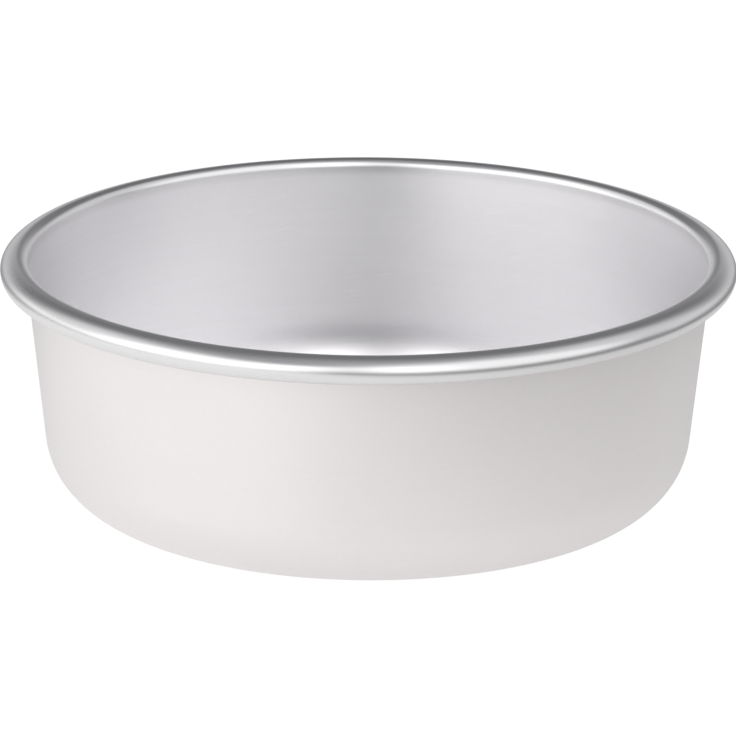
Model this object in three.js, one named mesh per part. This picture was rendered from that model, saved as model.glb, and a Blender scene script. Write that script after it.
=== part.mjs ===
// Round cake pan: one drawn aluminium sheet whose rim is rolled outwards over a stiffening wire.
// Millimetres, +Z up. The origin is the centre of the flat underside that the pan stands on.
import * as THREE from 'three';

// Driving dimensions of the drawn sheet
const MOUTH_DIAMETER = 203.2; // inside, where the wall turns into the rim
const OVERALL_HEIGHT = 76.2; // underside to the top of the rim
const SHEET_THICKNESS = 1.2;
const WALL_LEAN_DEG = 5.9; // outwards from upright
const CORNER_RADIUS = 21.0; // inside, between the base and the wall

// Driving dimensions of the rolled rim, with radii on the sheet's hidden face
const BEND_RADIUS = 1.3; // from the wall to the top of the rim
const SHOULDER_RADIUS = 5.0; // over the top and down the outside
const BEND_END_DEG = 100; // slope of the rim's face at each change of radius: 0 looks out, 90 up
const SHOULDER_END_DEG = 45;
const CUT_EDGE_GAP = 0.6; // between the sheet's cut edge and the wall

// Driving dimensions of the wire that the lip of the rim wraps
const WIRE_DIAMETER = 4.0;
const WIRE_CLEARANCE = 0.3; // all round the wire
const WIRE_BUTT_GAP = 1.2; // between the two ends of the wire

// Facets on the round surfaces
const TURN_STEPS = 88; // once round the pan
const CORNER_STEPS = 8;
const BEND_STEPS = 4;
const SHOULDER_STEPS = 5;
const LIP_STEPS = 12;
const WIRE_SIDES = 12;

const SHEET_MATERIAL = new THREE.MeshStandardMaterial({ color: 0xd3d1cf, roughness: 0.42, metalness: 0.95 });
const WIRE_MATERIAL = new THREE.MeshStandardMaterial({ color: 0xb4b7bb, roughness: 0.35, metalness: 1.0 });

// The section is drawn in a half plane: x is the distance from the pan's axis and y is the height.
const wallLean = THREE.MathUtils.degToRad(WALL_LEAN_DEG);
const bendEnd = THREE.MathUtils.degToRad(BEND_END_DEG);
const shoulderEnd = THREE.MathUtils.degToRad(SHOULDER_END_DEG);
const straightDown = -Math.PI / 2;
const upTheWall = new THREE.Vector2(Math.sin(wallLean), Math.cos(wallLean));
const outOfTheWall = new THREE.Vector2(Math.cos(wallLean), -Math.sin(wallLean));

// A point moved by a length in the direction of an angle
function movedAlong(point, angle, length) {
  return new THREE.Vector2(Math.cos(angle), Math.sin(angle)).multiplyScalar(length).add(point);
}

// The bend touches the mouth diameter, the shoulder touches the overall height, and the arcs flow on.
const lipRadius = WIRE_DIAMETER / 2 + WIRE_CLEARANCE;
const shoulderDrop = (SHOULDER_RADIUS - BEND_RADIUS) * Math.sin(bendEnd);
const bendCentre = new THREE.Vector2(
  MOUTH_DIAMETER / 2 + outOfTheWall.x * (BEND_RADIUS + SHEET_THICKNESS),
  OVERALL_HEIGHT - SHOULDER_RADIUS - SHEET_THICKNESS + shoulderDrop,
);
const shoulderCentre = movedAlong(bendCentre, bendEnd, BEND_RADIUS - SHOULDER_RADIUS);
const lipCentre = movedAlong(shoulderCentre, shoulderEnd, SHOULDER_RADIUS - lipRadius);

// The lip wraps the wire until its cut edge comes near the wall, or points straight at it.
const lipToWall = lipCentre.clone().sub(bendCentre).dot(outOfTheWall) + BEND_RADIUS;
const shortOfTheWall = Math.min(1, (lipToWall - CUT_EDGE_GAP) / (lipRadius + SHEET_THICKNESS));
const lipEnd = -Math.PI - wallLean + Math.acos(shortOfTheWall);

const RIM_ARCS = [
  { centre: bendCentre, radius: BEND_RADIUS, from: Math.PI - wallLean, to: bendEnd, steps: BEND_STEPS },
  { centre: shoulderCentre, radius: SHOULDER_RADIUS, from: bendEnd, to: shoulderEnd, steps: SHOULDER_STEPS },
  { centre: lipCentre, radius: lipRadius, from: shoulderEnd, to: lipEnd, steps: LIP_STEPS },
];

// The corner's inside arc touches the wall's inner face and the base's upper face.
const cornerHeight = SHEET_THICKNESS + CORNER_RADIUS;
const besideTheBend = bendCentre.clone().addScaledVector(
  outOfTheWall, -(BEND_RADIUS + SHEET_THICKNESS + CORNER_RADIUS),
);
const slideDown = (besideTheBend.y - cornerHeight) / upTheWall.y;
const cornerCentre = besideTheBend.clone().addScaledVector(upTheWall, -slideDown);

// Points of an arc in the section plane, from one angle to another
function arcPoints(centre, radius, from, to, steps) {
  const clockwise = to < from;
  const arc = new THREE.EllipseCurve(centre.x, centre.y, radius, radius, from, to, clockwise);
  return arc.getPoints(steps);
}

// One face of the rolled rim, from the wall to the cut edge: an arc starts where the last one ended
function rimFace(thickness) {
  return RIM_ARCS.flatMap(({ centre, radius, from, to, steps }, place) => {
    const points = arcPoints(centre, radius + thickness, from, to, steps);
    return place === 0 ? points : points.slice(1);
  });
}

// The sheet's whole section: out along the underside, up the outside, round the rim and back inside
function sheetSection() {
  return [
    new THREE.Vector2(0, 0),
    ...arcPoints(cornerCentre, CORNER_RADIUS + SHEET_THICKNESS, straightDown, -wallLean, CORNER_STEPS),
    ...rimFace(0),
    ...rimFace(SHEET_THICKNESS).reverse(),
    ...arcPoints(cornerCentre, CORNER_RADIUS, -wallLean, straightDown, CORNER_STEPS),
    new THREE.Vector2(0, SHEET_THICKNESS),
  ];
}

// Base, corner, wall and rolled rim, all one sheet
function makePanShell() {
  const shell = new THREE.Mesh(new THREE.LatheGeometry(sheetSection(), TURN_STEPS), SHEET_MATERIAL);
  shell.name = 'pan_shell';
  shell.rotation.x = Math.PI / 2;
  return shell;
}

// Centre line of the wire: almost a full circle, open at the back of the pan where its ends meet
class WireRing extends THREE.Curve {
  getPoint(along, target = new THREE.Vector3()) {
    const gapAngle = WIRE_BUTT_GAP / lipCentre.x;
    const backOfPan = Math.PI / 2;
    const angle = backOfPan + gapAngle / 2 + along * (2 * Math.PI - gapAngle);
    return target.set(lipCentre.x * Math.cos(angle), lipCentre.x * Math.sin(angle), 0);
  }
}

// Stiffening wire inside the lip of the rim
function makeRimWire() {
  const roundSection = new THREE.Shape().absarc(0, 0, WIRE_DIAMETER / 2, 0, 2 * Math.PI);
  const geometry = new THREE.ExtrudeGeometry(roundSection, {
    extrudePath: new WireRing(),
    steps: TURN_STEPS,
    curveSegments: WIRE_SIDES / 2,
  });
  const wire = new THREE.Mesh(geometry, WIRE_MATERIAL);
  wire.name = 'rim_wire';
  wire.position.z = lipCentre.y;
  return wire;
}

const cakePan = new THREE.Group();
cakePan.add(makePanShell(), makeRimWire());

export default cakePan;
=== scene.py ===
"""Round satin aluminium cake pan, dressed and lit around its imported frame.

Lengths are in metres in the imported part's own frame: +Z is up and the origin is the middle of the underside.
"""

import logging
import math
from dataclasses import dataclass
from enum import Enum
from typing import Any

import bpy
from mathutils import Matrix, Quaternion, Vector


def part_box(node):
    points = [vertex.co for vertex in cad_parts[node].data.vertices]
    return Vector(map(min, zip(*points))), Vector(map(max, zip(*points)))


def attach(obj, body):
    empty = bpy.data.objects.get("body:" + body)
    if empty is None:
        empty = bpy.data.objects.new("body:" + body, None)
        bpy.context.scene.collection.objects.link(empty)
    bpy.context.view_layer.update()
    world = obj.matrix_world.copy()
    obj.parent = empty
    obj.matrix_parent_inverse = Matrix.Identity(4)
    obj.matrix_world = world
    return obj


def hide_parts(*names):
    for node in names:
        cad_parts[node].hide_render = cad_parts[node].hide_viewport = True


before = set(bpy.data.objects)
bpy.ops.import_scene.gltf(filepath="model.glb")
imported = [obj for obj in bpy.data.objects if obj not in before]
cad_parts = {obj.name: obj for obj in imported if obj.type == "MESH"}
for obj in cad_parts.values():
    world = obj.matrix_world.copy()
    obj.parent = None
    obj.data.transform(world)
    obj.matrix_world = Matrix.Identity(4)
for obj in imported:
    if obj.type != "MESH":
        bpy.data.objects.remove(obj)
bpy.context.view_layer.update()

MM = 0.001
ONLY_BODY = "root"

log = logging.getLogger("cake_pan")

Socket = bpy.types.NodeSocket
Colour = tuple[float, float, float]


class Zone(Enum):
    """Stretches of the sheet's surface that are finished each in their own way."""

    OUTSIDE = "outside"
    RIM = "rim"
    INSIDE = "inside"


class Carried(Enum):
    """Attributes that the section hands on to the turned mesh, for the finishes to read."""

    ALONG = "along_section"
    RIM = "rim_share"
    INSIDE = "inside_share"
    # Share of the painted dark reflection along the rim's crest.
    CREST = "painted_crest_reflection_share"
    BASE = "base_share"


def direction(angle: float) -> Vector:
    """The unit vector at an angle in the section plane."""
    return Vector((math.cos(angle), math.sin(angle)))


@dataclass(frozen=True)
class Arc:
    """A circular arc in the section plane, where x is the distance from the axis and y is the height."""

    centre: Vector
    radius: float
    start: float
    end: float

    def points(self, steps: int) -> list[Vector]:
        """Points along the arc, with both of its ends.

        Args:
            steps: How many equal pieces the arc is cut into.

        Returns:
            The points from start to end.
        """
        turn = (self.end - self.start) / steps
        return [self.centre + self.radius * direction(self.start + turn * i) for i in range(steps + 1)]

    def grown(self, by: float) -> "Arc":
        """The same arc on the other face of the sheet."""
        return Arc(self.centre, self.radius + by, self.start, self.end)


def straight_points(start: Vector, end: Vector, steps: int) -> list[Vector]:
    """Points along a straight run of the section.

    Args:
        start: Where the run starts.
        end: Where it ends.
        steps: How many equal pieces it is cut into.

    Returns:
        The points from start to end.
    """
    return [start.lerp(end, i / steps) for i in range(steps + 1)]


def near_stretch(places: list[float], first: float, last: float, fade: float) -> list[float]:
    """How near each place along the section lies to a stretch of it.

    Args:
        places: Lengths along the section.
        first: Where the stretch starts.
        last: Where it ends.
        fade: Length beyond either end over which the nearness falls off smoothly.

    Returns:
        A share for each place: 1 on the stretch and 0 beyond the fade.
    """
    shares = []
    for place in places:
        outside = max(first - place, place - last, 0.0)
        step = max(0.0, 1.0 - outside / fade)
        shares.append(step * step * (3.0 - 2.0 * step))
    return shares


@dataclass
class SheetSection:
    """Half section of the drawn sheet, from the middle of the underside round to the middle of the base."""

    height: float
    mouth_diameter: float = 203.2 * MM
    thickness: float = 1.2 * MM
    wall_lean: float = math.radians(5.9)
    corner_radius: float = 21.0 * MM
    inside_corner_radius: float = 21.6 * MM
    bend_radius: float = 1.3 * MM
    shoulder_radius: float = 5.0 * MM
    bend_end: float = math.radians(100)
    shoulder_end: float = math.radians(45)
    cut_edge_gap: float = 0.6 * MM
    wire_diameter: float = 4.0 * MM
    wire_clearance: float = 0.3 * MM
    zone_fade: float = 3.0 * MM
    base_fade: float = 7.0 * MM
    # The crest line is where a dark reflection is painted round the rim: how far it reaches and how far it sits
    # from the crest.
    crest_line_reach: float = 1.3 * MM
    crest_line_offset: float = 0.8 * MM
    base_steps: int = 14
    corner_steps: int = 28
    wall_steps: int = 44
    bend_steps: int = 12
    shoulder_steps: int = 14
    lip_steps: int = 36
    edge_steps: int = 8

    def __post_init__(self) -> None:
        """Works out the centres that the arcs share from the driving sizes."""
        self.up_wall = Vector((math.sin(self.wall_lean), math.cos(self.wall_lean)))
        self.out_of_wall = Vector((math.cos(self.wall_lean), -math.sin(self.wall_lean)))
        self.lip_radius = self.wire_diameter / 2 + self.wire_clearance
        shoulder_drop = (self.shoulder_radius - self.bend_radius) * math.sin(self.bend_end)
        bend_reach = self.bend_radius + self.thickness
        self.bend_centre = Vector((
            self.mouth_diameter / 2 + self.out_of_wall.x * bend_reach,
            self.height - self.shoulder_radius - self.thickness + shoulder_drop,
        ))
        bend_to_shoulder = self.bend_radius - self.shoulder_radius
        self.shoulder_centre = self.bend_centre + bend_to_shoulder * direction(self.bend_end)
        shoulder_to_lip = self.shoulder_radius - self.lip_radius
        self.lip_centre = self.shoulder_centre + shoulder_to_lip * direction(self.shoulder_end)

    @property
    def lip_end(self) -> float:
        """Angle at which the lip's rounded cut edge stops short of the wall."""
        lip_to_wall = (self.lip_centre - self.bend_centre).dot(self.out_of_wall) + self.bend_radius
        share = (lip_to_wall - self.cut_edge_gap) / (self.lip_radius + self.thickness)
        return -math.pi - self.wall_lean + math.acos(min(1.0, share))

    @property
    def reach(self) -> float:
        """Greatest distance of the rim from the axis."""
        return self.lip_centre.x + self.lip_radius + self.thickness

    def rim_arcs(self) -> list[tuple[Arc, int]]:
        """The arcs of the rolled rim on its hidden face, from the wall to the cut edge, and their steps."""
        edge_turn = self.thickness / 2 / (self.lip_radius + self.thickness / 2)
        lip_stop = self.lip_end + edge_turn
        return [
            (Arc(self.bend_centre, self.bend_radius, math.pi - self.wall_lean, self.bend_end),
             self.bend_steps),
            (Arc(self.shoulder_centre, self.shoulder_radius, self.bend_end, self.shoulder_end),
             self.shoulder_steps),
            (Arc(self.lip_centre, self.lip_radius, self.shoulder_end, lip_stop), self.lip_steps),
        ]

    def rim_face(self, thickness: float) -> list[Vector]:
        """One face of the rolled rim, from the wall to the cut edge.

        Args:
            thickness: Distance from the hidden face: zero, or the sheet's own thickness.

        Returns:
            The points of that face.
        """
        return [point for arc, steps in self.rim_arcs() for point in arc.grown(thickness).points(steps)]

    def cut_edge(self) -> list[Vector]:
        """The rounded cut edge of the sheet, from the hidden face to the face that shows."""
        last_arc = self.rim_arcs()[-1][0]
        middle = last_arc.centre + (last_arc.radius + self.thickness / 2) * direction(last_arc.end)
        return Arc(middle, self.thickness / 2, last_arc.end - math.pi, last_arc.end).points(self.edge_steps)

    def corner(self, inside_radius: float) -> Arc:
        """The rounded corner on the sheet's inside face, from the base to the wall.

        Args:
            inside_radius: Its radius, which sets how far it keeps from the wall and the base.

        Returns:
            The arc.
        """
        to_middle = self.bend_radius + self.thickness + inside_radius
        beside_bend = self.bend_centre - self.out_of_wall * to_middle
        slide = (beside_bend.y - self.thickness - inside_radius) / self.up_wall.y
        return Arc(beside_bend - self.up_wall * slide, inside_radius, -math.pi / 2, -self.wall_lean)

    def runs(self) -> list[tuple[Zone, list[Vector]]]:
        """The section's runs in order, each with its zone: underside, outside, rim and inside."""
        outer_corner = self.corner(self.corner_radius).grown(self.thickness).points(self.corner_steps)
        inner_corner = self.corner(self.inside_corner_radius).points(self.corner_steps)[::-1]
        hidden_rim = self.rim_face(0.0)
        shown_rim = self.rim_face(self.thickness)[::-1]
        return [
            (Zone.OUTSIDE, straight_points(Vector((0.0, 0.0)), outer_corner[0], self.base_steps)),
            (Zone.OUTSIDE, outer_corner),
            (Zone.OUTSIDE, straight_points(outer_corner[-1], hidden_rim[0], self.wall_steps)),
            (Zone.OUTSIDE, hidden_rim),
            (Zone.RIM, self.cut_edge()),
            (Zone.RIM, shown_rim),
            (Zone.INSIDE, straight_points(shown_rim[-1], inner_corner[0], self.wall_steps)),
            (Zone.INSIDE, inner_corner),
            (Zone.INSIDE, straight_points(inner_corner[-1], Vector((0.0, self.thickness)), self.base_steps)),
        ]

    def outline(self) -> tuple[list[Vector], list[Zone]]:
        """The section's points in one line, with the points that two runs share taken once.

        Returns:
            The points, and the zone of each.
        """
        shared = 1e-7
        points: list[Vector] = []
        zones: list[Zone] = []
        for zone, run in self.runs():
            for point in run:
                if not points or (point - points[-1]).length > shared:
                    points.append(point)
                    zones.append(zone)
        return points, zones

    def soft_share(self, places: list[float], zones: list[Zone], zone: Zone) -> list[float]:
        """How far each point belongs to a zone, fading over a short length at the zone's ends.

        Args:
            places: Length along the section up to each point.
            zones: The zone of each point.
            zone: The zone that is asked about.

        Returns:
            A share from 0 to 1 for each point.
        """
        first = places[zones.index(zone)]
        last = places[len(zones) - 1 - zones[::-1].index(zone)]
        return near_stretch(places, first, last, self.zone_fade)

    def line_shares(self, points: list[Vector], places: list[float]) -> dict[Carried, list[float]]:
        """How near each point lies to the line along the rim's crest, where a dark reflection is painted, and to
        the corner and base inside.

        Args:
            points: The section's points.
            places: Length along the section up to each point.

        Returns:
            A share for each point, by the attribute that carries it.
        """
        crest_point = self.bend_centre + (self.bend_radius + self.thickness) * direction(self.bend_end)
        join_point = self.corner(self.inside_corner_radius).points(1)[-1]
        at_crest, base = (
            places[min(range(len(points)), key=lambda i: (points[i] - target).length)]
            for target in (crest_point, join_point)
        )
        crest = at_crest - self.crest_line_offset
        return {
            Carried.CREST: near_stretch(places, crest, crest, self.crest_line_reach),
            Carried.BASE: near_stretch(places, base, places[-1], self.base_fade),
        }

    def mesh(self) -> bpy.types.Mesh:
        """The section as a line of edges, laid out for a sweep round the mouth circle.

        Returns:
            A mesh of edges: x is the distance out from the mouth circle and y the depth below the origin.
        """
        points, zones = self.outline()
        places = [0.0]
        for near, far in zip(points, points[1:]):
            places.append(places[-1] + (far - near).length)
        mesh = bpy.data.meshes.new("sheet_section")
        edges = [(i, i + 1) for i in range(len(points) - 1)]
        mesh.from_pydata([(p.x - self.mouth_diameter / 2, -p.y, 0.0) for p in points], edges, [])
        values = {
            Carried.ALONG: places,
            Carried.RIM: self.soft_share(places, zones, Zone.RIM),
            Carried.INSIDE: self.soft_share(places, zones, Zone.INSIDE),
            **self.line_shares(points, places),
        }
        for carried, numbers in values.items():
            mesh.attributes.new(carried.value, "FLOAT", "POINT").data.foreach_set("value", numbers)
        return mesh


class NodeBench:
    """Lays out a node tree: adds nodes, fills their sockets and links them."""

    def __init__(self, tree: bpy.types.NodeTree) -> None:
        """Takes the tree to work on."""
        self.tree = tree

    def feed(self, socket: Socket, value: Any) -> None:
        """Links a socket to another socket, or sets its own value."""
        if isinstance(value, Socket):
            self.tree.links.new(value, socket)
        else:
            socket.default_value = value

    def add(self, kind: str, feeds: dict[str | int, Any] | None = None, **settings: Any) -> bpy.types.Node:
        """Adds a node.

        Args:
            kind: Blender's name for the node's type.
            feeds: Values or sockets for its inputs, by name or number.
            settings: The node's own properties.

        Returns:
            The node.
        """
        node = self.tree.nodes.new(kind)
        for name, value in settings.items():
            setattr(node, name, value)
        for key, value in (feeds or {}).items():
            self.feed(node.inputs[key], value)
        return node

    def math(self, operation: str, *values: Any) -> Socket:
        """The result of one Math node."""
        return self.add("ShaderNodeMath", dict(enumerate(values)), operation=operation).outputs[0]

    def vector(self, operation: str, *values: Any) -> bpy.types.Node:
        """One Vector Math node."""
        return self.add("ShaderNodeVectorMath", dict(enumerate(values)), operation=operation)

    def scaled(self, vector: Any, factor: Any) -> Socket:
        """A vector or colour times a number."""
        feeds = {0: vector, "Scale": factor}
        return self.add("ShaderNodeVectorMath", feeds, operation="SCALE").outputs["Vector"]

    def ramp(self, value: Any, low: float, high: float, to_low: float = 0.0, to_high: float = 1.0) -> Socket:
        """A smooth step of a value.

        Args:
            value: The socket that is stepped.
            low: Where the step starts.
            high: Where it ends.
            to_low: The result before the step.
            to_high: The result after it.

        Returns:
            The stepped value.
        """
        feeds = {"Value": value, "From Min": low, "From Max": high, "To Min": to_low, "To Max": to_high}
        return self.add("ShaderNodeMapRange", feeds, interpolation_type="SMOOTHSTEP").outputs["Result"]

    def blend(self, share: Any, first: Any, second: Any) -> Socket:
        """A plain mix of two numbers."""
        return self.add("ShaderNodeMix", {0: share, 2: first, 3: second}, data_type="FLOAT").outputs[0]

    def blend_colour(self, share: Any, first: Any, second: Any, blend_type: str = "MIX") -> Socket:
        """A mix of two colours."""
        feeds = {0: share, 6: first, 7: second}
        return self.add("ShaderNodeMix", feeds, data_type="RGBA", blend_type=blend_type).outputs[2]

    def noise(self, position: Socket, scale: float, detail: float = 2.0, roughness: float = 0.5) -> Socket:
        """The value of a Noise Texture."""
        feeds = {"Vector": position, "Scale": scale, "Detail": detail, "Roughness": roughness}
        return self.add("ShaderNodeTexNoise", feeds).outputs["Fac"]

    def group(self, tree: bpy.types.NodeTree, feeds: dict[str, Any]) -> Any:
        """Places a node group.

        Args:
            tree: The group.
            feeds: Values or sockets for its inputs by name.

        Returns:
            The group's outputs.
        """
        node = self.add("ShaderNodeGroup", node_tree=tree)
        for name, value in feeds.items():
            self.feed(node.inputs[name], value)
        return node.outputs

    def uneven(self, swings: dict[Socket, Any], marks: dict[Socket, Any] | None = None) -> Socket:
        """A factor of one that some traces swing both ways and others only lift or lower where they lie.

        Args:
            swings: How far each trace swings the factor about one, by its socket, which runs from 0 to 1.
            marks: What each mark adds to the factor, by its socket, which is 0 where there is no mark.

        Returns:
            The factor.
        """
        factor: Any = 1.0
        for trace, depth in swings.items():
            swing = self.math("MULTIPLY_ADD", trace, 2.0, -1.0)
            factor = self.math("MULTIPLY_ADD", swing, depth, factor)
        for mark, depth in (marks or {}).items():
            factor = self.math("MULTIPLY_ADD", mark, depth, factor)
        return factor


def add_socket(tree: bpy.types.NodeTree, name: str, side: str, kind: str, value: Any = None) -> None:
    """Adds a named input or output to a node group.

    Args:
        tree: The group.
        name: The socket's name.
        side: INPUT or OUTPUT.
        kind: The socket's type, such as Float.
        value: The value that an input starts with.
    """
    socket = tree.interface.new_socket(name, in_out=side, socket_type=f"NodeSocket{kind}")
    if value is not None:
        socket.default_value = value


def opaque(colour: Colour) -> tuple[float, float, float, float]:
    """A colour with the alpha that sockets ask for."""
    return (*colour, 1.0)


def blank_material(name: str) -> tuple[bpy.types.Material, NodeBench]:
    """A material with no nodes yet, and the bench to lay them out on."""
    material = bpy.data.materials.new(name)
    material.use_nodes = True
    material.node_tree.nodes.clear()
    return material, NodeBench(material.node_tree)


def geometry_tree(name: str, inputs: dict[str, str], output: str) -> bpy.types.NodeTree:
    """A Geometry Nodes tree with named inputs and one geometry output.

    Args:
        name: The tree's name.
        inputs: The type of each input by name.
        output: The output's name.

    Returns:
        The tree, with no nodes yet.
    """
    tree = bpy.data.node_groups.new(name, "GeometryNodeTree")
    for label, kind in inputs.items():
        add_socket(tree, label, "INPUT", kind)
    add_socket(tree, output, "OUTPUT", "Geometry")
    return tree


def dress(bench: NodeBench, geometry: Socket, finish: Socket, output: str) -> None:
    """Ends a Geometry Nodes tree: shades the mesh smooth, makes it real and gives it its finish.

    Args:
        bench: Where the nodes are laid out.
        geometry: The mesh so far.
        finish: The material.
        output: The name of the tree's output.
    """
    smooth = bench.add("GeometryNodeSetShadeSmooth", {"Geometry": geometry})
    real = bench.add("GeometryNodeRealizeInstances", {"Geometry": smooth.outputs["Geometry"]})
    feeds = {"Geometry": real.outputs["Geometry"], "Material": finish}
    dressed = bench.add("GeometryNodeSetMaterial", feeds)
    bench.add("NodeGroupOutput", {output: dressed.outputs["Geometry"]})


class SectionTurner:
    """Geometry Nodes tree that turns a section round the pan's axis into a closed sheet."""

    def __init__(self) -> None:
        """Builds the tree."""
        inputs = {
            "Section": "Geometry",
            "Path Radius": "Float",
            "Turn Steps": "Int",
            "Weld Distance": "Float",
            "Ripple Depth": "Float",
            "Ripple Size": "Float",
            "Ripple Seed": "Float",
            "Still Below": "Float",
            "Finish": "Material",
        }
        self.tree = geometry_tree("turn_section", inputs, "Sheet")
        self.lay_out()

    def lay_out(self) -> None:
        """Sweeps the section, welds it on the axis, ripples it slightly and gives it its finish."""
        bench = NodeBench(self.tree)
        given = bench.add("NodeGroupInput").outputs
        line = bench.add("GeometryNodeMeshToCurve", {"Mesh": given["Section"]})
        circle = bench.add(
            "GeometryNodeCurvePrimitiveCircle",
            {"Resolution": given["Turn Steps"], "Radius": given["Path Radius"]},
        )
        feeds = {"Curve": circle.outputs["Curve"], "Profile Curve": line.outputs["Curve"]}
        swept = bench.add("GeometryNodeCurveToMesh", feeds)
        flipped = bench.add("GeometryNodeFlipFaces", {"Mesh": swept.outputs["Mesh"]})
        welded = bench.add(
            "GeometryNodeMergeByDistance",
            {"Geometry": flipped.outputs["Mesh"], "Distance": given["Weld Distance"]},
        )
        rippled = bench.add(
            "GeometryNodeSetPosition",
            {"Geometry": welded.outputs["Geometry"], "Offset": self.ripple(bench, given)},
        )
        dress(bench, rippled.outputs["Geometry"], given["Finish"], "Sheet")

    def ripple(self, bench: NodeBench, given: Any) -> Socket:
        """The slow unevenness of a hand-finished wall, square to the axis and nothing at the base.

        Args:
            bench: Where the nodes are laid out.
            given: The tree's inputs.

        Returns:
            The offset of each point.
        """
        place = bench.add("GeometryNodeInputPosition").outputs["Position"]
        parts = bench.add("ShaderNodeSeparateXYZ", {"Vector": place})
        across = bench.add("ShaderNodeCombineXYZ", {"X": parts.outputs["X"], "Y": parts.outputs["Y"]})
        outwards = bench.vector("NORMALIZE", across.outputs["Vector"]).outputs["Vector"]
        scale = bench.math("DIVIDE", 1.0, given["Ripple Size"])
        wave = bench.add(
            "ShaderNodeTexNoise",
            {"Vector": place, "W": given["Ripple Seed"], "Scale": scale, "Detail": 1.0},
            noise_dimensions="4D",
        )
        centred = bench.math("SUBTRACT", wave.outputs["Fac"], 0.5)
        rise = bench.math("DIVIDE", parts.outputs["Z"], given["Still Below"])
        awake = bench.ramp(rise, 1.0, 2.0)
        depth = bench.math("MULTIPLY", bench.math("MULTIPLY", centred, given["Ripple Depth"]), awake)
        return bench.scaled(outwards, depth)


class WireBender:
    """Geometry Nodes tree that bends a round wire into an almost closed ring."""

    def __init__(self) -> None:
        """Builds the tree."""
        inputs = {
            "Start": "Geometry",
            "Ring Radius": "Float",
            "Ring Height": "Float",
            "Wire Diameter": "Float",
            "Butt Gap": "Float",
            "Turn Steps": "Int",
            "Sides": "Int",
            "Finish": "Material",
        }
        self.tree = geometry_tree("bend_wire", inputs, "Wire")
        self.lay_out()

    def lay_out(self) -> None:
        """Sweeps a circle along an arc that is open at the back of the pan, and caps its ends."""
        bench = NodeBench(self.tree)
        given = bench.add("NodeGroupInput").outputs
        gap_angle = bench.math("DIVIDE", given["Butt Gap"], given["Ring Radius"])
        arc = bench.add(
            "GeometryNodeCurveArc",
            {
                "Resolution": given["Turn Steps"],
                "Radius": given["Ring Radius"],
                "Start Angle": bench.math("MULTIPLY_ADD", gap_angle, 0.5, math.pi / 2),
                "Sweep Angle": bench.math("SUBTRACT", 2 * math.pi, gap_angle),
            },
        )
        section = bench.add(
            "GeometryNodeCurvePrimitiveCircle",
            {"Resolution": given["Sides"], "Radius": bench.math("MULTIPLY", given["Wire Diameter"], 0.5)},
        )
        feeds = {"Curve": arc.outputs["Curve"], "Profile Curve": section.outputs["Curve"], "Fill Caps": True}
        swept = bench.add("GeometryNodeCurveToMesh", feeds)
        lift = bench.add("ShaderNodeCombineXYZ", {"Z": given["Ring Height"]})
        raised = bench.add(
            "GeometryNodeTransform",
            {"Geometry": swept.outputs["Mesh"], "Translation": lift.outputs["Vector"]},
        )
        dress(bench, raised.outputs["Geometry"], given["Finish"], "Wire")


def grown_piece(
    name: str, start: bpy.types.Mesh, tree: bpy.types.NodeTree, values: dict[str, Any]
) -> bpy.types.Object:
    """Runs a Geometry Nodes tree on a mesh and keeps the result as a plain mesh.

    Args:
        name: The piece's name.
        start: The mesh that the tree is given.
        tree: The tree.
        values: Its inputs by name.

    Returns:
        The piece, at the origin and with no modifier left on it.
    """
    piece = bpy.data.objects.new(name, start)
    bpy.context.scene.collection.objects.link(piece)
    modifier = piece.modifiers.new(tree.name, "NODES")
    modifier.node_group = tree
    for socket in tree.interface.items_tree:
        if socket.in_out == "INPUT" and socket.name in values:
            modifier[socket.identifier] = values[socket.name]
    depsgraph = bpy.context.evaluated_depsgraph_get()
    evaluated = piece.evaluated_get(depsgraph)
    mesh = bpy.data.meshes.new_from_object(evaluated, preserve_all_data_layers=True, depsgraph=depsgraph)
    piece.modifiers.remove(modifier)
    mesh.name = name
    piece.data = mesh
    bpy.data.meshes.remove(start)
    return piece


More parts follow.
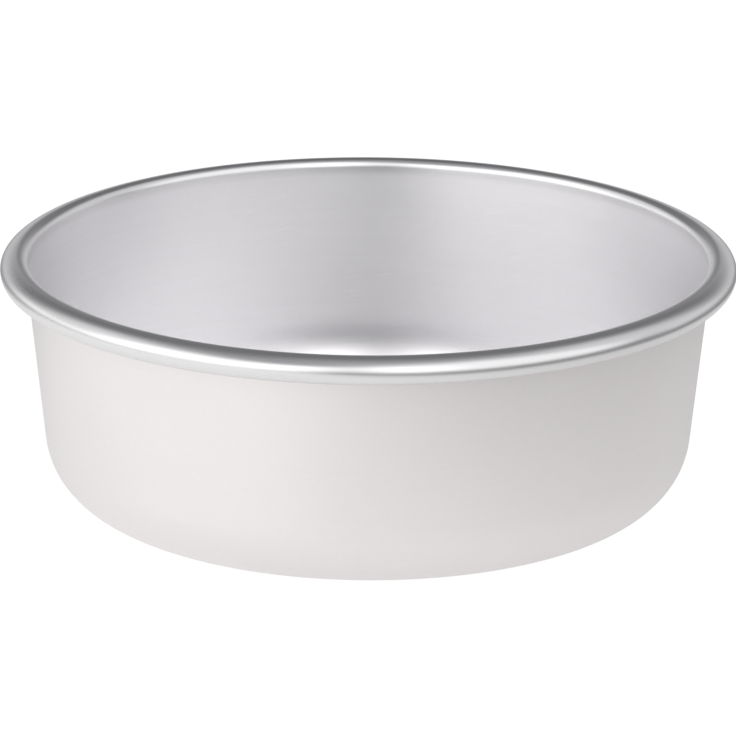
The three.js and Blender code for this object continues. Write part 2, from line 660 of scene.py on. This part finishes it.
class EffectShelf:
    """Shader node groups for the traces of making and use, each built once and shared by the finishes."""

    def __init__(self) -> None:
        """Builds every group."""
        self.turned_lines = self.build_turned_lines()
        self.cloudy_satin = self.build_cloudy_satin()
        self.hairlines = self.build_hairlines()

    @staticmethod
    def new_group(name: str, inputs: dict[str, tuple[str, Any]], outputs: list[str]) -> bpy.types.NodeTree:
        """A shader node group with named inputs and number outputs.

        Args:
            name: The group's name.
            inputs: Type and first value of each input by name.
            outputs: Names of the outputs.

        Returns:
            The group, with no nodes yet.
        """
        group = bpy.data.node_groups.new(name, "ShaderNodeTree")
        for label, (kind, value) in inputs.items():
            add_socket(group, label, "INPUT", kind, value)
        for label in outputs:
            add_socket(group, label, "OUTPUT", "Float")
        return group

    @staticmethod
    def around(bench: NodeBench, position: Socket, sweep: Socket) -> tuple[Socket, Socket]:
        """Coordinates that follow the circle round the axis without a seam.

        Args:
            bench: Where the nodes are laid out.
            position: Place on the piece.
            sweep: How fast the coordinates change on the way round.

        Returns:
            The two coordinates.
        """
        flat = bench.vector("MULTIPLY", position, (1.0, 1.0, 0.0)).outputs["Vector"]
        unit = bench.vector("NORMALIZE", flat).outputs["Vector"]
        parts = bench.add("ShaderNodeSeparateXYZ", {"Vector": bench.scaled(unit, sweep)})
        return parts.outputs["X"], parts.outputs["Y"]

    def build_turned_lines(self) -> bpy.types.NodeTree:
        """Fine lines that a turning tool or a drawing die leaves: long round the axis and narrow across."""
        inputs = {
            "Position": ("Vector", None),
            "Along": ("Float", 0.0),
            "Pitch": ("Float", 0.5 * MM),
            "Sweep": ("Float", 2.0),
        }
        group = self.new_group("turned_lines", inputs, ["Lines"])
        bench = NodeBench(group)
        given = bench.add("NodeGroupInput").outputs
        first, second = self.around(bench, given["Position"], given["Sweep"])
        across = bench.math("DIVIDE", given["Along"], given["Pitch"])
        place = bench.add("ShaderNodeCombineXYZ", {"X": across, "Y": first, "Z": second})
        lines = bench.noise(place.outputs["Vector"], 1.0, detail=3.0, roughness=0.65)
        bench.add("NodeGroupOutput", {"Lines": lines})
        return group

    def build_cloudy_satin(self) -> bpy.types.NodeTree:
        """Soft clouds and fine grain of a satin surface that was never polished evenly."""
        inputs = {
            "Position": ("Vector", None),
            "Cloud Size": ("Float", 30.0 * MM),
            "Grain Size": ("Float", 0.9 * MM),
        }
        group = self.new_group("cloudy_satin", inputs, ["Clouds", "Grain"])
        bench = NodeBench(group)
        given = bench.add("NodeGroupInput").outputs
        clouds = bench.noise(given["Position"], bench.math("DIVIDE", 1.0, given["Cloud Size"]), detail=3.0)
        grain = bench.noise(given["Position"], bench.math("DIVIDE", 1.0, given["Grain Size"]), detail=1.0)
        bench.add("NodeGroupOutput", {"Clouds": clouds, "Grain": grain})
        return group

    def build_hairlines(self) -> bpy.types.NodeTree:
        """Sparse hairline scratches in patches, slanted a little against the turned lines."""
        inputs = {
            "Position": ("Vector", None),
            "Along": ("Float", 0.0),
            "Width": ("Float", 0.35 * MM),
            "Slant": ("Float", 0.02),
            "Patch Size": ("Float", 28.0 * MM),
        }
        group = self.new_group("hairlines", inputs, ["Hairlines"])
        bench = NodeBench(group)
        given = bench.add("NodeGroupInput").outputs
        parts = bench.add("ShaderNodeSeparateXYZ", {"Vector": given["Position"]})
        angle = bench.math("ARCTAN2", parts.outputs["X"], parts.outputs["Y"])
        slanted = bench.math("MULTIPLY_ADD", angle, given["Slant"], given["Along"])
        across = bench.math("DIVIDE", slanted, given["Width"])
        lengths_round = 9.0
        streak_start = 0.66
        streak_full = 0.78
        patch_start = 0.52
        patch_full = 0.68
        place = bench.add(
            "ShaderNodeCombineXYZ", {"X": across, "Y": bench.math("MULTIPLY", angle, lengths_round)}
        )
        streaks = bench.noise(place.outputs["Vector"], 1.0, detail=0.0)
        thin = bench.ramp(streaks, streak_start, streak_full)
        patches = bench.noise(given["Position"], bench.math("DIVIDE", 1.0, given["Patch Size"]), detail=1.0)
        sparse = bench.math("MULTIPLY", thin, bench.ramp(patches, patch_start, patch_full))
        bench.add("NodeGroupOutput", {"Hairlines": sparse})
        return group


@dataclass(frozen=True)
class SheetFinish:
    """How one zone of the sheet is finished: its colour, its gloss, and how far each trace shows."""

    colour: Colour
    roughness: float
    line_colour: float
    line_roughness: float
    cloud_colour: float
    cloud_roughness: float
    hairline_colour: float
    hairline_roughness: float


@dataclass(frozen=True)
class SatinSheet:
    """Finish of the drawn sheet: three zones of one aluminium surface that flow into each other."""

    name: str = "satin_aluminium_sheet"
    outside: SheetFinish = SheetFinish(
        colour=(0.89, 0.858, 0.857), roughness=0.43,
        line_colour=0.015, line_roughness=0.04, cloud_colour=0.02, cloud_roughness=0.05,
        hairline_colour=0.02, hairline_roughness=-0.04,
    )
    rim: SheetFinish = SheetFinish(
        colour=(0.81, 0.805, 0.812), roughness=0.28,
        line_colour=0.03, line_roughness=0.05, cloud_colour=0.02, cloud_roughness=0.05,
        hairline_colour=0.0, hairline_roughness=0.0,
    )
    inside: SheetFinish = SheetFinish(
        colour=(0.905, 0.897, 0.91), roughness=0.41,
        line_colour=0.03, line_roughness=0.06, cloud_colour=0.03, cloud_roughness=0.06,
        hairline_colour=0.05, hairline_roughness=-0.1,
    )
    anisotropy: float = 0.5
    across_the_lines: float = 0.25
    line_pitch: float = 0.5 * MM
    lines_round: float = 2.5
    cloud_size: float = 34.0 * MM
    grain_size: float = 0.9 * MM
    grain_colour: float = 0.015
    # Painted dark reflection: the colour drops along the rim's crest in place of the shade that the rim mirrors.
    painted_crest_reflection: float = -0.42
    base_roughness: float = -0.26
    bump_height: float = 0.004 * MM

    def by_zone(self, bench: NodeBench, number: str, shares: dict[Zone, Socket]) -> Socket:
        """One number of the three finishes, blended by zone.

        Args:
            bench: Where the nodes are laid out.
            number: The name of the number in SheetFinish.
            shares: Share of the rim and of the inside at each point.

        Returns:
            The blended number.
        """
        walls = bench.blend(shares[Zone.INSIDE], getattr(self.outside, number), getattr(self.inside, number))
        return bench.blend(shares[Zone.RIM], walls, getattr(self.rim, number))

    def colour_by_zone(self, bench: NodeBench, shares: dict[Zone, Socket]) -> Socket:
        """The base colour of the three finishes, blended by zone."""
        outside, rim, inside = (opaque(finish.colour) for finish in (self.outside, self.rim, self.inside))
        walls = bench.blend_colour(shares[Zone.INSIDE], outside, inside)
        return bench.blend_colour(shares[Zone.RIM], walls, rim)

    def material(self, shelf: EffectShelf) -> bpy.types.Material:
        """Builds the material.

        Args:
            shelf: The shared effects.

        Returns:
            The material.
        """
        material, bench = blank_material(self.name)
        position = bench.add("ShaderNodeTexCoord").outputs["Object"]
        along, rim, inside, crest, base = (
            bench.add("ShaderNodeAttribute", attribute_name=carried.value).outputs["Fac"]
            for carried in Carried
        )
        shares = {Zone.RIM: rim, Zone.INSIDE: inside}
        lines = bench.group(
            shelf.turned_lines,
            {"Position": position, "Along": along, "Pitch": self.line_pitch, "Sweep": self.lines_round},
        )["Lines"]
        satin = bench.group(
            shelf.cloudy_satin,
            {"Position": position, "Cloud Size": self.cloud_size, "Grain Size": self.grain_size},
        )
        scratches = bench.group(shelf.hairlines, {"Position": position, "Along": along})["Hairlines"]
        # The crest share lowers the colour as a painted dark reflection; the other marks are the metal's own.
        shade = bench.uneven({
            lines: self.by_zone(bench, "line_colour", shares),
            satin["Clouds"]: self.by_zone(bench, "cloud_colour", shares),
            satin["Grain"]: self.grain_colour,
        }, {scratches: self.by_zone(bench, "hairline_colour", shares), crest: self.painted_crest_reflection})
        gloss = bench.uneven({
            lines: self.by_zone(bench, "line_roughness", shares),
            satin["Clouds"]: self.by_zone(bench, "cloud_roughness", shares),
        }, {scratches: self.by_zone(bench, "hairline_roughness", shares), base: self.base_roughness})
        bump = bench.add("ShaderNodeBump", {"Strength": 1.0, "Distance": self.bump_height, "Height": lines})
        tangent = bench.add("ShaderNodeTangent", direction_type="RADIAL", axis="Z")
        shader = bench.add(
            "ShaderNodeBsdfPrincipled",
            {
                "Base Color": bench.scaled(self.colour_by_zone(bench, shares), shade),
                "Metallic": 1.0,
                "Roughness": bench.math("MULTIPLY", self.by_zone(bench, "roughness", shares), gloss),
                "Anisotropic": self.anisotropy,
                "Anisotropic Rotation": self.across_the_lines,
                "Normal": bump.outputs["Normal"],
                "Tangent": tangent.outputs["Tangent"],
            },
        )
        bench.add("ShaderNodeOutputMaterial", {"Surface": shader.outputs["BSDF"]})
        return material


@dataclass(frozen=True)
class DrawnWire:
    """Finish of the stiffening wire: plain aluminium with the fine lines of the drawing die."""

    name: str = "drawn_aluminium_wire"
    colour: Colour = (0.70, 0.71, 0.73)
    roughness: float = 0.38
    line_pitch: float = 0.25 * MM
    lines_round: float = 6.0
    line_colour: float = 0.08
    line_roughness: float = 0.12
    cloud_size: float = 12.0 * MM
    grain_size: float = 0.4 * MM
    grain_colour: float = 0.05
    bump_height: float = 0.006 * MM

    def material(self, shelf: EffectShelf) -> bpy.types.Material:
        """Builds the material.

        Args:
            shelf: The shared effects.

        Returns:
            The material.
        """
        material, bench = blank_material(self.name)
        position = bench.add("ShaderNodeTexCoord").outputs["Object"]
        height = bench.add("ShaderNodeSeparateXYZ", {"Vector": position}).outputs["Z"]
        lines = bench.group(
            shelf.turned_lines,
            {"Position": position, "Along": height, "Pitch": self.line_pitch, "Sweep": self.lines_round},
        )["Lines"]
        satin = bench.group(
            shelf.cloudy_satin,
            {"Position": position, "Cloud Size": self.cloud_size, "Grain Size": self.grain_size},
        )
        shade = bench.uneven({lines: self.line_colour, satin["Grain"]: self.grain_colour})
        gloss = bench.uneven({lines: self.line_roughness, satin["Clouds"]: self.line_roughness})
        bump = bench.add("ShaderNodeBump", {"Strength": 1.0, "Distance": self.bump_height, "Height": lines})
        shader = bench.add(
            "ShaderNodeBsdfPrincipled",
            {
                "Base Color": bench.scaled(self.colour, shade),
                "Metallic": 1.0,
                "Roughness": bench.math("MULTIPLY", self.roughness, gloss),
                "Normal": bump.outputs["Normal"],
            },
        )
        bench.add("ShaderNodeOutputMaterial", {"Surface": shader.outputs["BSDF"]})
        return material


@dataclass
class PanShell:
    """The drawn sheet: base, rounded corner, leaning wall and rolled rim in one piece."""

    section: SheetSection
    finish: SatinSheet
    name: str = "pan_sheet"
    node: str = "pan_shell"
    slot: str = "satin_sheet"
    turn_steps: int = 256
    weld_distance: float = 0.001 * MM
    ripple_depth: float = 0.12 * MM
    ripple_size: float = 48.0 * MM
    ripple_seed: float = 4.0
    still_below: float = 12.0 * MM

    def build(self, shelf: EffectShelf) -> bpy.types.Object:
        """Turns the section into the sheet and gives it its finish.

        Args:
            shelf: The shared effects.

        Returns:
            The piece, in the place of its CAD node.
        """
        values = {
            "Path Radius": self.section.mouth_diameter / 2,
            "Turn Steps": self.turn_steps,
            "Weld Distance": self.weld_distance,
            "Ripple Depth": self.ripple_depth,
            "Ripple Size": self.ripple_size,
            "Ripple Seed": self.ripple_seed,
            "Still Below": self.still_below,
            "Finish": self.finish.material(shelf),
        }
        piece = grown_piece(self.name, self.section.mesh(), SectionTurner().tree, values)
        return seated(piece, self.node)


@dataclass
class RimWire:
    """The stiffening wire that the lip of the rim wraps, open where its two ends meet at the back."""

    section: SheetSection
    finish: DrawnWire
    name: str = "rim_wire_ring"
    node: str = "rim_wire"
    slot: str = "rim_wire"
    butt_gap: float = 1.2 * MM
    turn_steps: int = 240
    sides: int = 20

    def build(self, shelf: EffectShelf) -> bpy.types.Object:
        """Bends the wire and gives it its finish.

        Args:
            shelf: The shared effects.

        Returns:
            The piece, in the place of its CAD node.
        """
        values = {
            "Ring Radius": self.section.lip_centre.x,
            "Ring Height": self.section.lip_centre.y,
            "Wire Diameter": self.section.wire_diameter,
            "Butt Gap": self.butt_gap,
            "Turn Steps": self.turn_steps,
            "Sides": self.sides,
            "Finish": self.finish.material(shelf),
        }
        empty = bpy.data.meshes.new("wire_start")
        piece = grown_piece(self.name, empty, WireBender().tree, values)
        return seated(piece, self.node)


def seated(piece: bpy.types.Object, node: str) -> bpy.types.Object:
    """Lets a piece stand for a CAD node and ride on its body.

    Args:
        piece: The piece.
        node: The CAD node.

    Returns:
        The same piece.
    """
    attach(piece, ONLY_BODY)
    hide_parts(node)
    return piece


def seen_from(azimuth_deg: float, elevation_deg: float) -> Vector:
    """The direction from the pan towards a place in the studio.

    Args:
        azimuth_deg: Angle round the pan: 0 is the camera's side and positive is to the camera's right.
        elevation_deg: Angle above the floor.

    Returns:
        A unit vector.
    """
    azimuth, elevation = math.radians(azimuth_deg), math.radians(elevation_deg)
    flat = math.cos(elevation)
    return Vector((flat * math.sin(azimuth), -flat * math.cos(azimuth), math.sin(elevation)))


@dataclass(frozen=True)
class LightPanel:
    """A soft-edged bright stretch of the studio's walls, placed by the angles that it covers."""

    name: str
    azimuth_deg: float
    half_width_deg: float
    elevation_deg: float
    half_height_deg: float
    soft_deg: float
    strength: float


# The numbers follow LightPanel's fields: azimuth, half width, elevation, half height, soft edge, strength.
PANELS = [
    LightPanel("left_panel", -56.0, 40.0, 28.0, 30.0, 26.0, 1.28),
    LightPanel("front_panel", 0.0, 26.0, 45.0, 23.0, 26.0, 0.64),
    LightPanel("right_panel", 44.0, 42.0, 42.0, 34.0, 26.0, 0.95),
    LightPanel("overhead", 0.0, 200.0, 90.0, 22.0, 24.0, 0.2),
    LightPanel("wall_behind", 180.0, 80.0, 0.0, 17.0, 18.0, 0.47),
    LightPanel("left_wall", -114.0, 22.0, 30.0, 26.0, 26.0, 0.66),
    LightPanel("right_wall", 110.0, 28.0, 40.0, 26.0, 26.0, 0.55),
]


@dataclass
class StudioWorld:
    """The studio's dim, cool walls with their bright panels. The eye sees plain white in their place."""

    panels: list[LightPanel]
    ambient: float = 0.17
    bright_colour: Colour = (1.0, 0.995, 0.997)
    dim_colour: Colour = (0.95, 0.96, 1.0)

    def build(self) -> bpy.types.World:
        """Makes the world and hangs it in the scene."""
        world = bpy.data.worlds.new("studio_walls")
        world.use_nodes = True
        world.node_tree.nodes.clear()
        bench = NodeBench(world.node_tree)
        looking = bench.add("ShaderNodeTexCoord").outputs["Generated"]
        level: Any = self.ambient
        for panel in self.panels:
            level = bench.math("MULTIPLY_ADD", self.share(bench, looking, panel), panel.strength, level)
        seen = bench.add("ShaderNodeLightPath").outputs["Is Camera Ray"]
        strength = bench.blend(seen, level, 1.0)
        brightness = bench.ramp(strength, self.ambient, 1.0)
        colour = bench.blend_colour(brightness, opaque(self.dim_colour), opaque(self.bright_colour))
        shader = bench.add("ShaderNodeBackground", {"Color": colour, "Strength": strength})
        bench.add("ShaderNodeOutputWorld", {"Surface": shader.outputs["Background"]})
        bpy.context.scene.world = world
        return world

    @staticmethod
    def share(bench: NodeBench, looking: Socket, panel: LightPanel) -> Socket:
        """How far a direction lies on a panel, with soft edges.

        Args:
            bench: Where the nodes are laid out.
            looking: The direction from the pan.
            panel: The panel.

        Returns:
            A share from 0 to 1.
        """
        flat = bench.vector("MULTIPLY", looking, (1.0, 1.0, 0.0)).outputs["Vector"]
        ahead = bench.vector("NORMALIZE", flat).outputs["Vector"]
        facing = bench.vector("DOT_PRODUCT", ahead, seen_from(panel.azimuth_deg, 0.0)).outputs["Value"]
        sideways = bench.math("DEGREES", bench.math("ARCCOSINE", facing))
        height = bench.add("ShaderNodeSeparateXYZ", {"Vector": looking}).outputs["Z"]
        elevation = bench.math("DEGREES", bench.math("ARCSINE", height))
        upwards = bench.math("ABSOLUTE", bench.math("SUBTRACT", elevation, panel.elevation_deg))
        shares = [
            bench.ramp(distance, half - panel.soft_deg / 2, half + panel.soft_deg / 2, 1.0, 0.0)
            for distance, half in ((sideways, panel.half_width_deg), (upwards, panel.half_height_deg))
        ]
        return bench.math("MULTIPLY", *shares)


@dataclass
class StudioFloor:
    """A white floor that keeps the pan's shadow. The metal mirrors a painted pool of light on it and painted shade
    far off.
    """

    radius: float = 14.0
    rim_points: int = 128
    drop: float = 0.2 * MM
    plain_colour: Colour = (0.8, 0.8, 0.8)
    shown_shadow: float = 0.15
    shown_white: float = 0.94
    mirrored_shadow: float = 0.25
    # Levels of painted light and shade that only the metal's reflections see: a pool to the front left, a lighter
    # band round the pan, dark further out and a little lighter behind.
    painted_near_level: float = 0.56
    painted_far_level: float = 0.05
    near_inner: float = 0.22
    near_outer: float = 0.36
    painted_pool_level: float = 0.8
    pool_middle: tuple[float, float, float] = (-0.66, -0.4, 0.0)
    pool_inner: float = 0.5
    pool_outer: float = 0.9
    painted_behind_level: float = 0.2
    behind_start: float = 0.3
    behind_end: float = 1.0

    def build(self) -> bpy.types.Object:
        """Makes the floor.

        Returns:
            The floor.
        """
        mesh = bpy.data.meshes.new("studio_floor")
        turn = 2 * math.pi / self.rim_points
        corners = [
            (self.radius * math.cos(turn * i), self.radius * math.sin(turn * i), -self.drop)
            for i in range(self.rim_points)
        ]
        mesh.from_pydata(corners, [], [tuple(range(self.rim_points))])
        mesh.materials.append(self.material())
        floor = bpy.data.objects.new("studio_floor", mesh)
        bpy.context.scene.collection.objects.link(floor)
        return floor

    def material(self) -> bpy.types.Material:
        """A floor that the eye sees as white, the metal as painted light and shade added to how it is lit, and that
        otherwise sends back plain light.
        """
        material, bench = blank_material("studio_floor")
        position = bench.add("ShaderNodeTexCoord").outputs["Object"]
        from_pan = bench.vector("LENGTH", position).outputs["Value"]
        from_pool = bench.vector("DISTANCE", position, self.pool_middle).outputs["Value"]
        path = bench.add("ShaderNodeLightPath").outputs
        depth = bench.add("ShaderNodeSeparateXYZ", {"Vector": position}).outputs["Y"]
        # Painted light for reflections: the pool, the band near the pan and the dark far floor glow at these
        # levels.
        back_level = self.painted_far_level + self.painted_behind_level
        behind = bench.ramp(depth, self.behind_start, self.behind_end, self.painted_far_level, back_level)
        dim = bench.blend(bench.ramp(from_pan, self.near_inner, self.near_outer), self.painted_near_level, behind)
        mirrored = bench.blend(bench.ramp(from_pool, self.pool_inner, self.pool_outer), self.painted_pool_level, dim)
        level = bench.blend(path["Is Camera Ray"], mirrored, self.shown_white)
        white = bench.add("ShaderNodeEmission", {"Color": opaque((1.0, 1.0, 1.0)), "Strength": level})
        shade = bench.blend(path["Is Camera Ray"], self.mirrored_shadow, self.shown_shadow)
        shaded = bench.add("ShaderNodeBsdfDiffuse", {"Color": shade})
        shown = bench.add("ShaderNodeAddShader", {0: white.outputs[0], 1: shaded.outputs[0]})
        plain = bench.add("ShaderNodeBsdfDiffuse", {"Color": opaque(self.plain_colour)})
        seen = bench.math("MAXIMUM", path["Is Camera Ray"], path["Is Glossy Ray"])
        seen = bench.math("MAXIMUM", seen, path["Is Transmission Ray"])
        mixed = bench.add("ShaderNodeMixShader", {0: seen, 1: plain.outputs[0], 2: shown.outputs[0]})
        bench.add("ShaderNodeOutputMaterial", {"Surface": mixed.outputs[0]})
        return material


@dataclass(frozen=True)
class PhotoCamera:
    """The photograph's view, in a square picture."""

    elevation_deg: float = 17.66
    distance: float = 1.6
    aim_height: float = 39.36 * MM
    roll_deg: float = 0.303
    picture_side: float = 736.0
    focal_pixels: float = 5307.3
    sensor_width: float = 36.0

    def build(self) -> bpy.types.Object:
        """Makes the camera and lets the scene look through it."""
        lens = bpy.data.cameras.new("photo_camera")
        lens.sensor_width = self.sensor_width
        lens.lens = self.focal_pixels / self.picture_side * self.sensor_width
        camera = bpy.data.objects.new("photo_camera", lens)
        towards = seen_from(0.0, self.elevation_deg)
        camera.location = Vector((0.0, 0.0, self.aim_height)) + towards * self.distance
        camera.rotation_mode = "QUATERNION"
        roll = Quaternion((0.0, 0.0, 1.0), math.radians(self.roll_deg))
        camera.rotation_quaternion = towards.to_track_quat("Z", "Y") @ roll
        bpy.context.scene.collection.objects.link(camera)
        bpy.context.scene.camera = camera
        return camera


def main() -> None:
    """Builds the camera, the pan's pieces and the studio, and reports each piece."""
    logging.basicConfig(level=logging.INFO, format="%(name)s: %(message)s")
    bpy.context.scene.view_settings.view_transform = "Standard"
    PhotoCamera().build()
    section = SheetSection(height=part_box("pan_shell")[1].z)
    shelf = EffectShelf()
    for maker in (PanShell(section, SatinSheet()), RimWire(section, DrawnWire())):
        piece = maker.build(shelf)
        log.info("%s stands for %s with %d faces", piece.name, maker.node, len(piece.data.polygons))
    floor = StudioFloor().build()
    StudioWorld(PANELS).build()
    log.info("%s, %d light panels", floor.name, len(PANELS))


if __name__ == "__main__":
    main()
